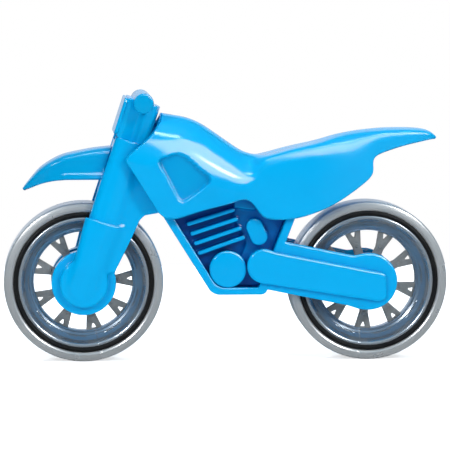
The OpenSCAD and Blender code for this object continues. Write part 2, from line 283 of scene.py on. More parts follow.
def lathe(name, prof, cx, cz, body, nodes, mat, seg=192, closed=True, seam=None, warp=None):
    """Ring or disc turned about the Y axis at cx, cz. prof runs (r, y); seam is the angle of a fine parting line."""
    prof = np.array(prof, float)
    n = len(prof)
    a = np.arange(seg) * 2 * math.pi / seg
    off = np.zeros(seg)
    if seam is not None:
        q = math.radians(seam) % (2 * math.pi)
        a = np.sort(np.r_[a[np.abs((a - q + math.pi) % (2 * math.pi) - math.pi) > 0.012], q + np.radians([-0.5, -0.2, 0, 0.2, 0.5])])
        seg = len(a)
        off = np.where(np.abs((a - q + math.pi) % (2 * math.pi) - math.pi) < math.radians(0.3), 0.17, 0)
    r = np.broadcast_to(prof[:, 0][None], (seg, n))
    y = np.broadcast_to(prof[:, 1][None], (seg, n))
    if warp is not None:
        r, y = warp(r, y, a[:, None])
    y = y - np.sign(y) * np.minimum(off[:, None], np.abs(y))
    r = r - off[:, None] * (r > 43)
    X = cx + np.cos(a)[:, None] * r
    Z = cz + np.sin(a)[:, None] * r
    Y = y
    V = np.stack([X, Y, Z], 2).reshape(-1, 3)
    i = np.arange(seg)[:, None]
    j = np.arange(n if closed else n - 1)[None]
    i2, j2 = (i + 1) % seg, (j + 1) % n
    F = np.stack([i * n + j, i * n + j2, i2 * n + j2, i2 * n + j], 2).reshape(-1, 4)
    area = np.sum(prof[:, 0] * np.roll(prof[:, 1], -1) - np.roll(prof[:, 0], -1) * prof[:, 1])
    if area < 0:
        F = F[:, ::-1]
    F = F.tolist()
    if not closed:
        first, last = [k * n for k in range(seg)], [k * n + n - 1 for k in range(seg)]
        F.append(first if area >= 0 else first[::-1])
        F.append(last[::-1] if area >= 0 else last)
    ob = object_from(name, V, F, body, nodes, mat)
    return ob


# ----------------------------------------------------------------- materials
def nodes_of(name):
    m = bpy.data.materials.new(name)
    m.use_nodes = True
    nt = m.node_tree
    nt.nodes.clear()
    out = nt.nodes.new("ShaderNodeOutputMaterial")
    b = nt.nodes.new("ShaderNodeBsdfPrincipled")
    nt.links.new(b.outputs[0], out.inputs[0])
    co = nt.nodes.new("ShaderNodeTexCoord")
    return m, nt, b, co.outputs["Object"]


def noise(nt, co, scale, detail=3.0, rough=0.5, stretch=None):
    if stretch:
        mp = nt.nodes.new("ShaderNodeMapping")
        mp.inputs["Scale"].default_value = stretch
        nt.links.new(co, mp.inputs["Vector"])
        co = mp.outputs[0]
    n = nt.nodes.new("ShaderNodeTexNoise")
    n.inputs["Scale"].default_value = scale
    n.inputs["Detail"].default_value = detail
    n.inputs["Roughness"].default_value = rough
    nt.links.new(co, n.inputs["Vector"])
    return n.outputs["Fac"]


def remap(nt, fac, a, b, lo=0.3, hi=0.7):
    m = nt.nodes.new("ShaderNodeMapRange")
    m.inputs["From Min"].default_value = lo
    m.inputs["From Max"].default_value = hi
    m.inputs["To Min"].default_value = a
    m.inputs["To Max"].default_value = b
    nt.links.new(fac, m.inputs["Value"])
    return m.outputs[0]


def two_tone(nt, fac, c1, c2, lo=0.3, hi=0.7):
    r = nt.nodes.new("ShaderNodeValToRGB")
    r.color_ramp.elements[0].position = lo
    r.color_ramp.elements[1].position = hi
    r.color_ramp.elements[0].color = (*c1, 1)
    r.color_ramp.elements[1].color = (*c2, 1)
    nt.links.new(fac, r.inputs[0])
    return r.outputs[0]


def bump(nt, b, fac, strength, distance):
    n = nt.nodes.new("ShaderNodeBump")
    n.inputs["Strength"].default_value = strength
    n.inputs["Distance"].default_value = distance
    nt.links.new(fac, n.inputs["Height"])
    nt.links.new(n.outputs[0], b.inputs["Normal"])


def painted_recess_shade(nt, c, shade_colour, reach, lo=0.35, hi=0.95, start=0.0):
    """Colour c with painted shade: it goes over to the shade colour where ambient occlusion finds the surface in a
    recess.
    """
    ao = nt.nodes.new("ShaderNodeAmbientOcclusion")
    ao.samples = 12
    ao.inputs["Distance"].default_value = reach
    mix = nt.nodes.new("ShaderNodeMix")
    mix.data_type = "RGBA"
    nt.links.new(remap(nt, ao.outputs["AO"], lo, 1.0, start, hi), mix.inputs[0])
    mix.inputs[6].default_value = (*shade_colour, 1)
    nt.links.new(c, mix.inputs[7])
    return mix.outputs[2]


def math_node(nt, kind, a, b=None):
    m = nt.nodes.new("ShaderNodeMath")
    m.operation = kind
    nt.links.new(a, m.inputs[0])
    if b is not None:
        nt.links.new(b, m.inputs[1])
    return m.outputs[0]


def along(nt, co, axis):
    s = nt.nodes.new("ShaderNodeSeparateXYZ")
    nt.links.new(co, s.inputs[0])
    return s.outputs[axis]


def blue_plastic(name="gloss_blue_plastic", reach=0.012, lo=0.45, hi=0.97, start=0.0, dim=1.0, tail=0.0, sunk=0.0):
    """dim darkens the colour as painted shade, tail dulls the surface towards the rear, sunk paints shade that
    darkens it towards the middle plane; the colour also gets painted shade in recesses.
    """
    m, nt, b, co = nodes_of(name)
    flow = noise(nt, co, 28, 3, 0.55)
    # painted shade: dim scales the blue down into a darker copy of the same plastic
    c = two_tone(nt, flow, (0.0, 0.42 * dim, 0.83 * dim), (0.0, 0.45 * dim, 0.87 * dim))
    # painted shade: the colour goes over to deep navy towards the middle plane, where the recess lies deepest
    if sunk:
        mix = nt.nodes.new("ShaderNodeMix")
        mix.data_type = "RGBA"
        nt.links.new(remap(nt, math_node(nt, "ABSOLUTE", along(nt, co, 1)), 1.0 - sunk, 1.0, 0.0095, 0.0122), mix.inputs[0])
        mix.inputs[6].default_value = (0.0, 0.11, 0.46, 1)
        nt.links.new(c, mix.inputs[7])
        c = mix.outputs[2]
    # painted shade from ambient occlusion darkens the colour in recesses and corners
    nt.links.new(painted_recess_shade(nt, c, (0.0, 0.088, 0.38), reach, lo, hi, start), b.inputs["Base Color"])
    gloss = remap(nt, noise(nt, co, 240, 4, 0.6, (1, 1, 2.6)), 0.115, 0.15)
    if tail:
        gloss = math_node(nt, "ADD", gloss, remap(nt, along(nt, co, 0), 0.0, tail, 0.046, 0.068))
    nt.links.new(gloss, b.inputs["Roughness"])
    b.inputs["IOR"].default_value = 1.45
    b.inputs["Specular IOR Level"].default_value = 0.38
    bump(nt, b, noise(nt, co, 330, 2, 0.5), 0.05, 0.0001)
    return m


def tyre_silver():
    m, nt, b, co = nodes_of("satin_silver_tyre")
    c = two_tone(nt, noise(nt, co, 35, 2, 0.5), (0.66, 0.66, 0.655), (0.72, 0.715, 0.705))
    nt.links.new(c, b.inputs["Base Color"])
    b.inputs["Metallic"].default_value = 0.55
    nt.links.new(remap(nt, noise(nt, co, 90, 2, 0.5), 0.27, 0.31), b.inputs["Roughness"])
    bump(nt, b, noise(nt, co, 160, 1, 0.4), 0.02, 0.00005)
    return m


def rim_silver(name="gloss_silver_rim", dark=(0.35, 0.395, 0.44), light=(0.42, 0.465, 0.51)):
    m, nt, b, co = nodes_of(name)
    c = two_tone(nt, noise(nt, co, 40, 2, 0.5), dark, light)
    nt.links.new(c, b.inputs["Base Color"])
    b.inputs["Metallic"].default_value = 0.72
    nt.links.new(remap(nt, noise(nt, co, 90, 2, 0.5), 0.2, 0.25), b.inputs["Roughness"])
    bump(nt, b, noise(nt, co, 160, 1, 0.4), 0.03, 0.00005)
    return m


def spoke_grey():
    m, nt, b, co = nodes_of("matt_grey_spokes")
    c = two_tone(nt, noise(nt, co, 220, 5, 0.7), (0.25, 0.25, 0.245), (0.36, 0.36, 0.35))
    nt.links.new(c, b.inputs["Base Color"])
    b.inputs["Metallic"].default_value = 0.25
    nt.links.new(remap(nt, noise(nt, co, 900, 4, 0.7), 0.42, 0.62), b.inputs["Roughness"])
    bump(nt, b, noise(nt, co, 2600, 3, 0.6), 0.25, 0.00008)
    return m


def ring_black():
    m, nt, b, co = nodes_of("black_ring_plastic")
    c = two_tone(nt, noise(nt, co, 160, 4, 0.6), (0.006, 0.006, 0.007), (0.016, 0.015, 0.014))
    nt.links.new(c, b.inputs["Base Color"])
    nt.links.new(remap(nt, noise(nt, co, 200, 2, 0.5), 0.34, 0.42), b.inputs["Roughness"])
    b.inputs["Specular IOR Level"].default_value = 0.35
    bump(nt, b, noise(nt, co, 300, 1, 0.5), 0.03, 0.00005)
    return m


def pin_steel():
    m, nt, b, co = nodes_of("steel_pins")
    c = two_tone(nt, noise(nt, co, 120, 4, 0.6), (0.46, 0.47, 0.48), (0.60, 0.60, 0.60))
    nt.links.new(c, b.inputs["Base Color"])
    b.inputs["Metallic"].default_value = 1.0
    nt.links.new(remap(nt, noise(nt, co, 300, 4, 0.6, (1, 8, 1)), 0.22, 0.4), b.inputs["Roughness"])
    return m


# Every blue material below carries painted shade in its recesses, from ambient occlusion.
BLUE, TYRE, RIM, SPOKE, BLACK, STEEL = blue_plastic(), tyre_silver(), rim_silver(), spoke_grey(), ring_black(), pin_steel()
# lighter copy of the rim finish for the rim's rounded outer lip: a painted highlight
RIM_LIP_HIGHLIGHT = rim_silver("bright_rim_lip", (0.60, 0.64, 0.69), (0.66, 0.70, 0.74))
# Copies of the blue that stand in for shade: the recess copy paints heavy shade on the engine, darkening towards the
# middle plane; the collar, bar, mudguard and window-floor copies are dimmed as painted shade; the cowl's copy has
# milder painted shade and dulls towards the tail.
BLUE_RECESS_SHADE = blue_plastic("gloss_blue_recess_painted_shade", 0.030, 0.06, 0.88, 0.36, sunk=0.6)
BLUE_FORK = blue_plastic("gloss_blue_collar", 0.005, 0.9, 0.98, dim=0.78)
BLUE_BAR = blue_plastic("gloss_blue_bar_painted_shade", 0.005, 0.7, 0.98, dim=0.82)
BLUE_GUARD = blue_plastic("gloss_blue_guard_painted_shade", 0.012, 0.45, 0.97, dim=0.8)
BLUE_COWL = blue_plastic("gloss_blue_cowl", 0.008, 0.72, 0.97, tail=0.08)
BLUE_WINDOW_SHADE = blue_plastic("gloss_blue_window_painted_shade", 0.004, 0.8, 0.98, dim=0.85)


# ------------------------------------------------- body shell and mudguard
COWL = np.array([
    [-36.1, 137.1, -57.3, 113.5, 24.5, -38, 83.5, 24.4, .58], [-29, 135.9, -50, 112, 25.4, -33.5, 79.8, 24.2, .56],
    [-21.5, 134.4, -41, 110, 26, -28, 79.8, 23.8, .53], [-14, 131.3, -30, 107, 26, -15, 83.8, 23.3, .50],
    [-6, 126.1, -19, 103.8, 25.6, -6, 86, 22.8, .47], [2, 120.5, -8, 100.2, 24.8, 2, 88, 22.4, .46],
    [9, 116, 2, 97.6, 23.6, 8, 90.1, 22.2, .46], [14.5, 114.1, 10, 96.5, 22.6, 12, 89.5, 21.6, .48],
    [18.5, 113.7, 16, 98, 21.2, 15.3, 86.3, 20.9, .90], [22.5, 114, 20.5, 98.5, 20.9, 18.5, 81.5, 20.5, .95],
    [27, 115.2, 26, 98.5, 20.7, 22, 79, 20.2, .96], [34, 117.1, 33.5, 99, 20.5, 31, 78.6, 20, .96],
    [42, 119, 42, 100, 20.2, 40, 79.7, 19.8, .95], [50, 120.8, 50.5, 102, 20, 49, 82.4, 19.4, .93],
    [57, 123, 58.5, 105, 19.5, 58, 86.2, 18.9, .90], [63, 124.9, 65.5, 109, 19, 67, 91.7, 18.2, .87],
    [69, 126.1, 71.5, 113, 18.3, 75, 97.6, 17.4, .82], [74, 126.9, 76, 116.5, 17.6, 80, 101.9, 16.9, .84],
    [78, 127.3, 79, 119, 17, 81.4, 105.3, 16.6, .85], [81, 127.6, 81.5, 120.5, 16.6, 80.4, 110.2, 16.3, .86],
    [84, 127.8, 84.2, 121.7, 16.3, 81.8, 113.2, 16, .87], [89, 128.1, 89, 122.9, 16, 88, 115.8, 15.7, .88],
    [97, 128.2, 97, 124, 15.4, 97, 118.7, 15.2, .88], [105, 128.1, 105, 124.8, 14.2, 105, 120.6, 14, .86],
    [111.5, 127.4, 111.5, 124.8, 12.2, 111, 121.8, 12, .80], [115.4, 125.8, 115.2, 124, 10, 114.8, 122.4, 9.8, .72],
    [117.2, 123.6, 117, 123.2, 8, 116.8, 122.7, 7.8, .60]])
GUARD = np.array([
    [-112.4, 95.2, -112, 94.9, 2.6, -111.6, 94.4, 2.4, .60], [-110.6, 97.8, -109.6, 96.6, 5, -108.8, 95.4, 4.9, .70],
    [-107.2, 102, -106, 99.6, 8, -104.8, 97.2, 8, .80], [-102.6, 107, -101.8, 103.6, 10.6, -101, 98.9, 10.8, .84],
    [-96.4, 111.2, -96, 107.4, 12.4, -96, 100.2, 12.9, .86], [-89.5, 114.4, -89.5, 110, 13.2, -89.5, 100.9, 14, .86],
    [-81, 116.3, -81, 111.6, 13.4, -81, 101, 14.4, .86], [-73, 117.8, -74, 112.6, 13.3, -75, 101, 14.4, .86],
    [-62.9, 118.9, -65, 113, 13, -68, 101, 14, .86]])
WINDOW = arc_outline([(-37.5, 112.2, 1.2), (-30.4, 114.7, 3), (-26.2, 115.3, 4), (-21.5, 112, 4), (-16.1, 107, 6),
                      (-9, 101.6, 2.2), (-16.1, 95.8, 6), (-24.3, 89.8, 1.6), (-26.4, 91.2, 1.2), (-31.6, 101, 8)], 6)


def catmull(rows, u):
    """Rows at fractional places u, on a smooth curve through the table's rows."""
    n = len(rows)
    i = np.clip(np.floor(u).astype(int), 0, n - 2)
    t = (u - i)[:, None]
    ext_rows = np.vstack([2 * rows[0] - rows[1], rows, 2 * rows[-1] - rows[-2]])
    a, b, c, d = ext_rows[i], ext_rows[i + 1], ext_rows[i + 2], ext_rows[i + 3]
    m0, m1 = (c - a) / 2, (d - b) / 2
    lim = 3 * (c - b)
    m0 = np.where(np.sign(m0) == np.sign(c - b), np.sign(m0) * np.minimum(abs(m0), abs(lim)), 0)
    m1 = np.where(np.sign(m1) == np.sign(c - b), np.sign(m1) * np.minimum(abs(m1), abs(lim)), 0)
    return (2 * t**3 - 3 * t**2 + 1) * b + (t**3 - 2 * t**2 + t) * m0 + (3 * t**2 - 2 * t**3) * c + (t**3 - t**2) * m1


def section(R, t, bend):
    """Half sections: R rows (n, 9), t (m,) from the top's middle 0 past the widest rail 1 to the lower edge 2."""
    r = [R[:, k][:, None] for k in range(9)]
    t = t[None]
    a = np.clip(t, 0, 1)
    k = r[8]
    f = 3 * (1 - a) * a**2 * (1 - k) + a**3
    yf = 3 * (1 - a)**2 * a * k + 3 * (1 - a) * a**2 + a**3
    u = np.clip(t - 1, 0, 1)
    low = t > 1
    bend = (1.62 + 0.18 * step(R[:, 0], -35.9, -24))[:, None] if bend is None else bend
    drop = f**(1 + 6 * np.clip(k - 0.86, 0, 1))
    X = np.where(low, r[2] + (r[5] - r[2]) * u, r[0] + (r[2] - r[0]) * f**bend)
    Y = np.where(low, r[4] + (r[7] - r[4]) * u**2, r[4] * yf)
    Z = np.where(low, r[3] + (r[6] - r[3]) * u, r[1] - (r[1] - r[3]) * drop)
    return np.stack([X, Y, Z], 2)


def blur(G, axis, w, keep_ends=True):
    """Moving average by a small bell of half width w cells."""
    if w < 1:
        return G
    k = np.exp(-0.5 * (np.arange(-2 * w, 2 * w + 1) / w)**2)
    k /= k.sum()
    pad = [(0, 0)] * G.ndim
    pad[axis] = (2 * w, 2 * w)
    P = np.pad(G, pad, mode="reflect", reflect_type="odd")
    out = sum(k[i] * np.take(P, np.arange(i, i + G.shape[axis]), axis) for i in range(len(k)))
    return out


def grid_normals(G):
    du = np.gradient(G, axis=0)
    dv = np.gradient(G, axis=1)
    N = np.cross(dv, du)
    return N / np.maximum(np.linalg.norm(N, axis=2, keepdims=True), 1e-12)


def shell_mesh(G, N, th, r):
    """Closed shell from an outer grid with its outward normals: inner skin th below, and a rounded rim all round."""
    n, m = G.shape[:2]
    du, dv = np.gradient(G, axis=0), np.gradient(G, axis=1)
    unit = lambda a: a / np.maximum(np.linalg.norm(a, axis=-1, keepdims=True), 1e-12)
    T = np.zeros_like(G)
    T[0] -= unit(du[0]); T[-1] += unit(du[-1])
    T[:, 0] -= unit(dv[:, 0]); T[:, -1] += unit(dv[:, -1])
    T = np.where(np.linalg.norm(T, axis=2, keepdims=True) > 0, unit(T), T)
    O = G - T * r
    I = O - N * th
    ring = [(0, j) for j in range(m)] + [(i, m - 1) for i in range(1, n)] + \
           [(n - 1, j) for j in range(m - 2, -1, -1)] + [(i, 0) for i in range(n - 2, 0, -1)]
    V = [O.reshape(-1, 3), I.reshape(-1, 3)]
    k = len(ring)
    ri = np.array(ring)
    o, nn, tt = O[ri[:, 0], ri[:, 1]], N[ri[:, 0], ri[:, 1]], T[ri[:, 0], ri[:, 1]]
    strips = []
    for q in (30, 60, 90):
        a = math.radians(q)
        strips.append(o - nn * r + r * (nn * math.cos(a) + tt * math.sin(a)))
    for q in (90, 60, 30):
        a = math.radians(q)
        strips.append(o - nn * (th - r) + r * (-nn * math.cos(a) + tt * math.sin(a)))
    V += strips
    V = np.concatenate(V)
    i, j = np.meshgrid(np.arange(n - 1), np.arange(m - 1), indexing="ij")
    a = (i * m + j).ravel()
    outer = np.stack([a, a + 1, a + m + 1, a + m], 1)
    inner = outer[:, ::-1] + n * m
    F = [outer, inner]
    loops = [ri[:, 0] * m + ri[:, 1]]
    for s in range(len(strips)):
        loops.append(2 * n * m + s * k + np.arange(k))
    loops.append(n * m + ri[:, 0] * m + ri[:, 1])
    for p, q in zip(loops[:-1], loops[1:]):
        F.append(np.stack([p, q, np.roll(q, -1), np.roll(p, -1)], 1))
    return V, np.concatenate(F)


def orient(ob):
    """Turns every face outward by the sign of the closed mesh's volume."""
    me = ob.data
    vol = 0.0
    co = np.zeros(len(me.vertices) * 3)
    me.vertices.foreach_get("co", co)
    co = co.reshape(-1, 3)
    me.calc_loop_triangles()
    tri = np.zeros(len(me.loop_triangles) * 3, int)
    me.loop_triangles.foreach_get("vertices", tri)
    a, b, c = co[tri.reshape(-1, 3)].transpose(1, 0, 2)
    vol = float((a * np.cross(b, c)).sum())
    if vol < 0:
        me.flip_normals()
    return ob


def cowl():
    n_rows = len(COWL)
    fine = catmull(COWL, np.linspace(0, n_rows - 1, 2000))
    # even spacing along the body, closer where the side window lies
    rail = fine[:, [2, 3]]
    d = np.r_[0, np.cumsum(np.linalg.norm(np.diff(rail, axis=0), axis=1))]
    want = np.where((rail[:, 0] < 2), 0.62, 1.0) * 1.0
    want = np.where(fine[:, 0] > 76, 0.7 * (1.0), want)
    dens = np.r_[0, np.cumsum(np.diff(d) / want[1:])]
    n = int(dens[-1]) + 1
    u = np.interp(np.linspace(0, dens[-1], n), dens, np.linspace(0, n_rows - 1, 2000))
    R = catmull(COWL, u)
    lo = int(round(44 / (1)))
    hi = int(round(56 / (1)))
    t = np.r_[np.linspace(0, 1, lo, endpoint=False), np.linspace(1, 2, hi)]
    H = section(R, t, None)
    # soften the rail where the upper and lower sides meet
    S = blur(H, 1, 3)
    near = np.exp(-((t - 1) / 0.16)**2)[None, :, None]
    H = H + (S - H) * near
    L = H * np.array([1, -1, 1])
    G = np.concatenate([L[:, :0:-1], H], 1)
    G[:, len(t) - 1, 1] = 0
    for _ in range(2):
        G = blur(G, 0, 2)
    N = grid_normals(G)
    out = np.sign((N * (G - np.array([G[:, :, 0].mean(), 0, 95]))).sum())
    N *= out
    # sunk window on both sides
    x, y, z = G[:, :, 0], G[:, :, 1], G[:, :, 2]
    sd = 0.75 - poly_sd(WINDOW, x, z)
    side = (abs(y) > 14)
    floor = np.minimum(abs(y) - 0.9, 22.2)
    cut = step(sd, -0.25, 0.6) * (abs(y) - floor) * side
    G = G.copy()
    G[:, :, 1] -= np.sign(y) * cut
    N2 = grid_normals(G) * out
    V, F = shell_mesh(G, N2, 1.9, 0.75)
    ob = orient(object_from("cowl_shell", V, F, "root", ["cowl"], BLUE_COWL))
    # the window floor's faces take a darker copy of the blue: painted shade
    ob.data.materials.append(BLUE_WINDOW_SHADE)
    C = np.zeros(len(ob.data.polygons) * 3)
    ob.data.polygons.foreach_get("center", C)
    C = C.reshape(-1, 3) / MM
    floor = (0.75 - poly_sd(WINDOW, C[:, 0], C[:, 2]) > 0.5) & (abs(C[:, 1]) > 18)
    ob.data.polygons.foreach_set("material_index", floor.astype(np.int32))
    return ob


def mudguard():
    n_rows = len(GUARD)
    k = 1
    u = np.linspace(0, n_rows - 1, int(96 / k))
    R = catmull(GUARD, u)
    t = np.linspace(0, 2, int(60 / k))
    H = section(R, t, 1.0)
    H = H + (blur(H, 1, 2) - H) * np.exp(-((t - 1) / 0.2)**2)[None, :, None]
    L = H * np.array([1, -1, 1])
    G = np.concatenate([L[:, :0:-1], H], 1)
    G = blur(G, 0, 2)
    N = grid_normals(G)
    out = np.sign((N * (G - np.array([-85, 0, 95]))).sum())
    N *= out
    x, y, z = G[:, :, 0], abs(G[:, :, 1]), G[:, :, 2]
    lip = (1 - step(z, 103.6, 104.9)) * step(x, -91.5, -89) * (y > 9)
    G = G + N * (0.55 * lip)[:, :, None]
    V, F = shell_mesh(G, grid_normals(G) * out, 1.8, 0.7)
    ob = object_from("front_mudguard", V, F, "fork", ["front_fender"], BLUE_GUARD)
    return orient(ob)


# --------------------------------------------------------------- side pieces
OUTER = arc_outline([(-34.9, 80.3, 0), (-7.84, 37.1, 7.5), (21.4, 37.1, 3.4), (38.4, 81, 0), (31, 84, 0), (12, 95, 0),
                     (2, 93, 0), (-22, 86, 0), (-30.5, 80.3, 0)])
INNER = arc_outline([(-29.5, 80.3, 0), (-5.3, 41.1, 8), (17.6, 41.1, 0.8), (33.6, 81, 0), (30, 84.5, 0), (12, 96, 0),
                     (2, 94, 0), (-22, 87, 0), (-29.5, 81.5, 0)])
ARM = arc_outline([(31, 66.7, 0), (72, 58.1, 2), (78.8, 57, 0), (78.8, 30, 0), (73.5, 29.4, 2), (22, 39.9, 0), (26, 50, 0)])
CASE = arc_outline([(19, 62.4, 0), (88.2, 48.6, 3.2), (88.6, 34.3, 3.2), (84, 33, 1.5), (19, 43.6, 0)])


def frame_side(x, t, z):
    rim = ext(np.maximum(poly_sd(OUTER, x, z), -poly_sd(INNER, x, z)), t, 0, 16.5, 0.9)
    wall = ext(poly_sd(OUTER, x, z) + 0.6, t, 3.2, 5.2, 0.2)
    arm2 = smin(poly_sd(ARM, x, z), np.hypot(x - RX, z - WZ) - 15.8, 2.4)
    arm = ext(arm2, t, 13, 16.5, 1.3)
    boss = ext(np.hypot(x - RX, z - WZ) - 12, t, 6, 14, 0.5)
    bore = np.hypot(x - RX, z - WZ) - 2.05
    d = smin(smin(rim, wall, 1.2), smin(arm, boss, 1.5), 0.6)
    return np.maximum(d, np.minimum(1e3, -np.maximum(bore, t - 13)))


def bar_sd(x, z, p, q):
    p, q = np.array(p), np.array(q)
    e = q - p
    t = np.clip(((x - p[0]) * e[0] + (z - p[1]) * e[1]) / (e @ e), 0, 1)
    return np.hypot(x - p[0] - t * e[0], z - p[1] - t * e[1])


PANEL = arc_outline([(3.5, 79.4, 2), (7, 91, 2), (17, 92, 3), (31, 83.5, 0), (33.1, 80.4, 0), (17.9, 41.6, 1), (-1, 41.6, 6), (8, 58, 4), (11.5, 66, 6)])
PAD = arc_outline([(4.2, 85.2, 1.2), (17.6, 83.2, 2.2), (15.5, 93, 2), (4.5, 92.5, 1)])


def engine_side(x, t, z):
    floor = ext(poly_sd(OUTER, x, z) + 1.0, t, 5.6, 8.3, 0.3)
    mid_wall = ext(poly_sd(PANEL, x, z), t, 6, 10.2, 1.0)
    d = smin(floor, mid_wall, 2.0)
    for i in range(4):
        bar = bar_sd(x, z, (-21 + 2 * i, 76.3 - 5.4 * i), (3.4 + 1.9 * i, 83.9 - 5.1 * i)) - 1.22
        d = smin(d, ext(bar, t, 5, 14.2, 0.95), 0.8)
    pad = ext(poly_sd(PAD, x, z), t, 7, 12.3, 0.8)
    oval = ext(bar_sd(x, z, (17.9, 68.9), (15.5, 74.6)) - 4.75, t, 7, 15, 1.1)
    d = smin(smin(d, pad, 1.6), oval, 0.9)
    return both(d, poly_sd(OUTER, x, z) + 1.0, 0.1)


def chain_case(x, t, z):
    d2 = smin(poly_sd(CASE, x, z), np.hypot(x - 20.6, z - 53) - 9.45, 0.8)
    bar = ext(d2, t, 15.6, 19, 1.5)
    stub = ext(np.hypot(x - 20.6, z - 53) - 9.45, t, 8, 18.6, 0.8)
    return smin(bar, stub, 0.3)


def fork_side(u, t, s):
    r = 3.4
    c = 0.9 * (u / 8)**2 + 0.9 * step(u, 2, 9)
    w = 7.9 + 0.5 * step(s, 80, 46)
    a = np.abs(u) - (w - r)
    b = np.abs(t + c - 16.2) - (3.8 - r + 0.0)
    leg = np.hypot(np.maximum(a, 0), np.maximum(b, 0)) + np.minimum(np.maximum(a, b), 0) - r
    leg = both(leg, np.maximum(33 - s, s - 82.4), 0.2)
    wide = 9.0 + 1.25 * step(s, 8, 36)
    a = np.hypot(u, np.minimum(s + 2.5, 0)) - (wide - r)
    top = 21.4 - 2.4 * step(s, 10, -11)
    c = 0.8 * (u / 9.5)**2 + 2.0 * step(u, 1.5, 11)
    b = np.maximum(13 - t, t + c - top) + r
    sleeve = np.hypot(np.maximum(a, 0), np.maximum(b, 0)) + np.minimum(np.maximum(a, b), 0) - r
    sleeve = both(sleeve, s - 35.3, 0.55)
    rad = np.hypot(u, s)
    boss = ext(rad - 13.2, t, 12.6, 18.2, 1.3)
    drum = ext(rad - 17.8, t, 6, 14.7, 0.9)
    web = ext(poly_sd(WEB, u, s), t, 13.6, 16.4, 0.8)
    hi = smin(leg, sleeve, 0.35)
    d = smin(hi, web, 5.5)
    d = smin(d, smin(boss, drum, 0.9), 2.2)
    bore = np.maximum(rad - 2.05, t - 13)
    return np.maximum(np.maximum(d, -bore), 6 - t)


WEB = arc_outline([(0, 6, 0), (14.4, 11.2, 1.5), (17.2, 30, 10), (18.7, 42.6, 4), (20.4, 45.8, 3), (27.3, 49.4, 0.6), (26.9, 51.6, 0),
                   (9, 66, 0), (6, 70, 0), (0, 70, 0)])
HEAD = arc_outline([(-7.9, 0, 0), (-7.9, 18.7, 0), (-5.2, 18.5, 3), (-3.0, 16.9, 5), (0.9, 13.9, 4), (3.8, 15.5, 4), (8.7, 14.3, 2.5),
                    (10.2, 9.9, 2), (10.9, 5.0, 2), (11.2, 0, 0), (10.9, -5.0, 2), (10.2, -9.9, 2), (8.7, -14.3, 2.5),
                    (3.8, -15.5, 4), (0.9, -13.9, 4), (-3.0, -16.9, 5), (-5.2, -18.5, 3), (-7.9, -18.7, 0)])


def steering_head(u, y, s):
    plan = poly_sd(HEAD, u, y)
    foot = 81.2 + 3.2 * np.exp(-((u + 9.6) / 2.7)**2)
    return both(plan, np.maximum(foot - s, s - 105), 0.55)


def number_plate(u, y, s):
    a, b = np.abs(y) - 17.0, np.abs(s - 94.0) - 7.9
    d2 = np.hypot(np.maximum(a, 0), np.maximum(b, 0)) + np.minimum(np.maximum(a, b), 0) - 2.5
    return both(d2, np.abs(u + 8.7) - 1.0, 0.6)


def build_sides():
    for side, sign in (("left", -1), ("right", 1)):
        to, back = side_maps(sign)
        flip = sign < 0
        moulded(f"frame_side_{side}", frame_side, (-37, 0, 27), (97, 18, 98), 0.5, to, back, "root",
                [f"cradle_{side}", f"swingarm_{side}"], BLUE, flip, 0.3)
        moulded(f"engine_block_{side}", engine_side, (-33, 3, 36), (37, 17, 97), 0.42, to, back, "root",
                [f"engine_{side}"], BLUE_RECESS_SHADE, flip, 0.3)
        moulded(f"chain_cover_{side}", chain_case, (8, 6, 30), (92, 21, 66), 0.45, to, back, "root",
                [f"chain_case_{side}"], BLUE, flip, 0.3)
        prof = round_profile([(0.01, 10, 0), (10.2, 10, 0), (10.2, 16.6, 1.3), (0.01, 16.9, 0)], 8)
        prof = np.array(prof) * np.array([1, sign])
        orient(lathe(f"clutch_disc_{side}", prof, 0.6, 51.3, "root", [f"clutch_cover_{side}"], BLUE, 128, False))
        to, back = fork_maps(sign)
        moulded(f"fork_leg_{side}", fork_side, (-20, 5, -20), (30, 23, 84), 0.5, to, back, "fork",
                [f"fork_{side}"], BLUE, flip, 0.35)
    to, back = fork_maps(1)
    moulded("fork_collar", steering_head, (-10, -21, 79), (14, 21, 107), 0.45, to, back, "fork",
            ["steering_head"], BLUE_FORK, False, 0.35)
    moulded("bare_number_plate", number_plate, (-11, -21, 80), (-6, 21, 106), 0.4, to, back, "fork",
            ["number_plate"], BLUE_FORK, False, 0.3)
    c = fork_maps(1)[0](np.array([[0.7, 0, 104.6]]))[0]
    prof = round_profile([(0.01, -27, 0), (5.5, -27, 1.1), (5.5, 27, 1.1), (0.01, 27, 0)], 8)
    orient(lathe("grip_bar", prof, c[0], c[2], "fork", ["handlebar"], BLUE_BAR, 96, False))


# -------------------------------------------------------------------- wheels
def mirror_profile(half):
    """(r, y, radius) points of the near half, from the outermost to the innermost, closed over both halves."""
    return half + [(r, -y, q) for r, y, q in half[::-1]]


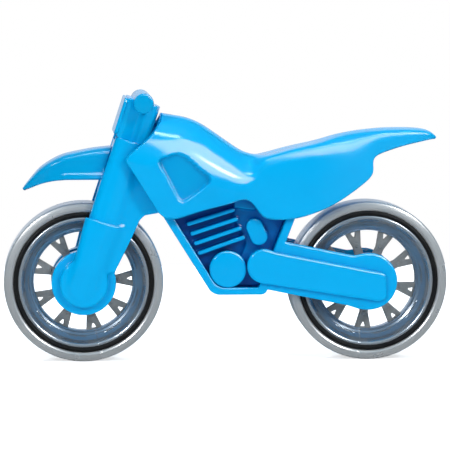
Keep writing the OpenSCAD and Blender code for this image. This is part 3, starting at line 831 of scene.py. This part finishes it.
def wheel(name, cx, phase, body, seam):
    tyre = [(44, 9.6, 0.9), (43.4, 11.1, 0.6), (42.5, 11.35, 0.2), (42.2, 11.6, 0.2), (40.3, 12, 0.7), (39.3, 11.5, 0.4), (38.85, 10.9, 0.3),
            (38.8, 9.2, 0), (36, 9.2, 0)]
    lathe(f"{name}_tyre_ring", round_profile(mirror_profile(tyre)), cx, WZ, body, [f"{name}_tyre"], TYRE, 256, seam=seam)
    for side, sg in (("left", -1), ("right", 1)):
        bead = [(36.0, 9.3, 0), (38.75, 9.3, 0), (38.75, 11.3, 0.25), (37.75, 11.45, 0.1), (37.6, 11.8, 0.12), (37.3, 11.8, 0.12),
                (37.15, 11.45, 0.1), (36.0, 11.3, 0.25)]
        P = round_profile(bead, 4) * np.array([1, sg])
        orient(lathe(f"{name}_black_ring_{side}", P, cx, WZ, body, [f"{name}_bead_{side}"], BLACK, 256))
    dish = [(36, 11.5, 0.3), (35.2, 11.95, 0.7), (34.3, 11.5, 0.6), (33.9, 10.2, 1.2), (32.7, 7.6, 3), (30.75, 5.7, 0.6), (30.5, 5.5, 0.05),
            (30.3, 5.35, 0.05), (30.1, 5.15, 0.05), (29.9, 4.9, 0.1), (28.7, 4.3, 0.3), (28.3, 3.6, 0.25), (27.5, 3.2, 0.2)]

    def ticks(r, y, a):
        """Short raised arcs on the dish between the spokes."""
        k = 2 * math.pi / 9
        q = np.abs((a - math.radians(phase)) % k - k / 2)
        lift = (1 - step(q, 0.15, 0.17)) * (1 - step(np.abs(r - 30.3), 0.15, 0.3))
        return r + 0 * a, y + np.sign(y) * 0.25 * lift

    ob = orient(lathe(f"{name}_rim_dish", round_profile(mirror_profile(dish), 4), cx, WZ, body, [f"{name}_rim"], RIM, 288,
                      seam=seam, warp=ticks))
    # faces on the rounded outer lip take the lighter copy of the rim finish: a painted highlight
    ob.data.materials.append(RIM_LIP_HIGHLIGHT)
    for f in ob.data.polygons:
        c = f.center
        f.material_index = int(math.hypot(c.x / MM - cx, c.z / MM - WZ) > 33.95 and abs(c.y) > 0.0095)
    orient(spokes(name, cx, phase, body))


def spokes(name, cx, phase, body):
    arm = arc_outline([(6, -3.4, 0), (11, -2.6, 3), (18.6, -2.25, 4), (27.9, -4.6, 0), (27.9, 4.6, 0), (18.6, 2.25, 4), (11, 2.6, 3), (6, 3.4, 0)])
    hole = arc_outline([(23.3, 0, 0.5), (27.0, -1.45, 0.4), (27.0, 1.45, 0.4)], 8)

    def field(x, t, z):
        r = np.hypot(x, z)
        ang = np.arctan2(z, x)
        k = 2 * math.pi / 9
        q = (ang - math.radians(phase) + k / 2) % k - k / 2
        px, pz = r * np.cos(q), r * np.sin(q)
        d2 = np.maximum(poly_sd(arm, px, pz), -poly_sd(hole, px, pz))
        d = ext(d2, t, -2, 2, 0.35)
        dot = ext(np.hypot(px - 19.5, pz) - 1.15, t, -2.25, 2.25, 0.15)
        hub = ext(r - 8, t, -5.5, 5.5, 0.8)
        d = smin(np.minimum(d, dot), hub, 1.0)
        return np.maximum(np.maximum(d, 2.05 - r), r - 27.9)

    to = lambda P: np.stack([P[:, 0] + cx, P[:, 1], P[:, 2] + WZ], 1)
    back = lambda W: np.stack([W[:, 0] - cx, W[:, 1], W[:, 2] - WZ], 1)
    return moulded(f"{name}_spoke_star", field, (-29, -6.5, -29), (29, 6.5, 29), 0.45, to, back, body,
                   [f"{name}_spokes"], SPOKE, False, 0.35)


# ------------------------------------------------------------- carried nodes
def carry(node, mat, width=0.4):
    ob = frame["nodes"][node]
    ob.data.materials.clear()
    ob.data.materials.append(mat)
    b = ob.modifiers.new("soft_edges", "BEVEL")
    b.width = width * MM
    b.segments = 2
    b.limit_method = "ANGLE"
    b.angle_limit = math.radians(35)
    b.harden_normals = True


cowl()
mudguard()
build_sides()
wheel("front", FX, 2.4, "front_wheel", 283.5)
wheel("rear", RX, 26.3, "rear_wheel", 263)
carry("backbone", BLUE_FORK)
carry("fork_crown", BLUE_FORK)
carry("steering_pin", STEEL, 0.3)
carry("front_axle", STEEL, 0.3)
carry("rear_axle", STEEL, 0.3)


# ------------------------------------------------- floor, lights, and camera
def paper_floor():
    """Pale paper floor, seen white, and dim in the gloss of the toy."""
    m = bpy.data.materials.new("floor_paper")
    m.use_nodes = True
    nt = m.node_tree
    b = nt.nodes["Principled BSDF"]
    b.inputs["Base Color"].default_value = (0.9, 0.9, 0.9, 1)
    b.inputs["Roughness"].default_value = 0.9
    b.inputs["Specular IOR Level"].default_value = 0.05
    b.inputs["Emission Color"].default_value = (1, 1, 1, 1)
    path = nt.nodes.new("ShaderNodeLightPath")
    nt.links.new(remap(nt, path.outputs["Is Camera Ray"], 0.12, 0.62, 0, 1), b.inputs["Emission Strength"])
    dark = nt.nodes.new("ShaderNodeEmission")
    dark.inputs[0].default_value = (0.012, 0.022, 0.034, 1)
    mix = nt.nodes.new("ShaderNodeMixShader")
    nt.links.new(remap(nt, path.outputs["Is Glossy Ray"], 0.0, 0.92, 0, 1), mix.inputs[0])
    nt.links.new(b.outputs[0], mix.inputs[1])
    nt.links.new(dark.outputs[0], mix.inputs[2])
    nt.links.new(mix.outputs[0], nt.nodes["Material Output"].inputs[0])
    return m


me = bpy.data.meshes.new("studio_floor")
me.from_pydata([(-6, -6, 0), (6, -6, 0), (6, 0.5, 0), (-6, 0.5, 0)], [], [(0, 1, 2, 3)])
me.materials.append(paper_floor())
floor = bpy.data.objects.new("studio_floor", me)
bpy.context.scene.collection.objects.link(floor)


def softbox(name, loc, target, sx, sy, power, colour=(1, 1, 1)):
    L = bpy.data.lights.new(name, "AREA")
    L.shape = "RECTANGLE"
    L.size, L.size_y = sx, sy
    L.energy = power
    L.color = colour
    ob = bpy.data.objects.new(name, L)
    ob.location = loc
    ob.rotation_euler = (Vector(target) - Vector(loc)).to_track_quat("-Z", "Y").to_euler()
    ob.visible_camera = False
    bpy.context.scene.collection.objects.link(ob)
    return ob


def shines_on(light, kind):
    """The light falls only on pieces whose material name starts with kind."""
    c = bpy.data.collections.new(light.name + "_on_" + kind)
    for ob in bpy.context.scene.objects:
        if ob.type == "MESH" and ob.data.materials and ob.data.materials[0] and ob.data.materials[0].name.startswith(kind):
            c.objects.link(ob)
    light.light_linking.receiver_collection = c
    light.visible_diffuse = False


softbox("overhead", (0.05, -0.15, 1.1), (0.0, 0.0, 0.08), 0.9, 0.5, 5.7).visible_glossy = False
softbox("key_right", (0.95, -1.25, 1.05), (0.0, 0.0, 0.07), 0.3, 0.3, 10.3)
softbox("key_left", (-0.95, -1.3, 0.9), (0.0, 0.0, 0.07), 0.3, 0.3, 8.3)
softbox("far_fill", (-0.3, 1.4, 0.85), (0.0, 0.0, 0.07), 0.4, 0.4, 9.0).visible_glossy = False
collar_fill = softbox("collar_fill", (1.0, -0.75, 0.5), (-0.05, 0.0, 0.12), 0.3, 0.3, 6.0)
shines_on(collar_fill, "gloss_blue_collar")
collar_fill.visible_diffuse = True
collar_fill.light_linking.blocker_collection = collar_fill.light_linking.receiver_collection
softbox("back_light", (0.0, 1.5, 0.35), (0.0, 0.0, 0.35), 2.6, 1.3, 8, (0.84, 0.89, 1.0)).visible_diffuse = False
shines_on(softbox("shine", (0.671, -0.859, 0.83), (0.0, 0.0, 0.1), 1.5, 1.0, 68, (1.0, 0.68, 0.52)), "gloss_blue")
shines_on(softbox("edge_strip", (0.0, -0.44, 1.05), (0.0, 0.0, 0.1), 0.72, 0.13, 7, (0.9, 0.95, 1.0)), "gloss_blue")

w = bpy.data.worlds.new("studio")
w.use_nodes = True
nt = w.node_tree
bg = nt.nodes["Background"]
seen = nt.nodes.new("ShaderNodeBackground")
seen.inputs[0].default_value = (1, 1, 1, 1)
co = nt.nodes.new("ShaderNodeTexCoord")
sep = nt.nodes.new("ShaderNodeSeparateXYZ")
nt.links.new(co.outputs["Generated"], sep.inputs[0])
nt.links.new(two_tone(nt, sep.outputs["Z"], (0.018, 0.06, 0.10), (0.22, 0.36, 0.46), 0.25, 0.95), bg.inputs[0])
path = nt.nodes.new("ShaderNodeLightPath")
mix = nt.nodes.new("ShaderNodeMixShader")
nt.links.new(path.outputs["Is Camera Ray"], mix.inputs[0])
nt.links.new(bg.outputs[0], mix.inputs[1])
nt.links.new(seen.outputs[0], mix.inputs[2])
nt.links.new(mix.outputs[0], nt.nodes["World Output"].inputs[0])
bpy.context.scene.world = w
bpy.context.scene.view_settings.view_transform = "Standard"

cam = bpy.data.cameras.new("camera")
cam.lens, cam.sensor_width = 240.9, 36
cam.clip_start, cam.clip_end = 0.05, 20
co = bpy.data.objects.new("camera", cam)
az, el = math.radians(-3.73), math.radians(5.13)
back = Vector((math.sin(az) * math.cos(el), -math.cos(az) * math.cos(el), math.sin(el)))
co.location = Vector((0, 0, 0.0744)) + back * 1.674
co.rotation_mode = "QUATERNION"
co.rotation_quaternion = (-back).to_track_quat("-Z", "Y")
bpy.context.scene.collection.objects.link(co)
bpy.context.scene.camera = co

bpy.context.view_layer.update()
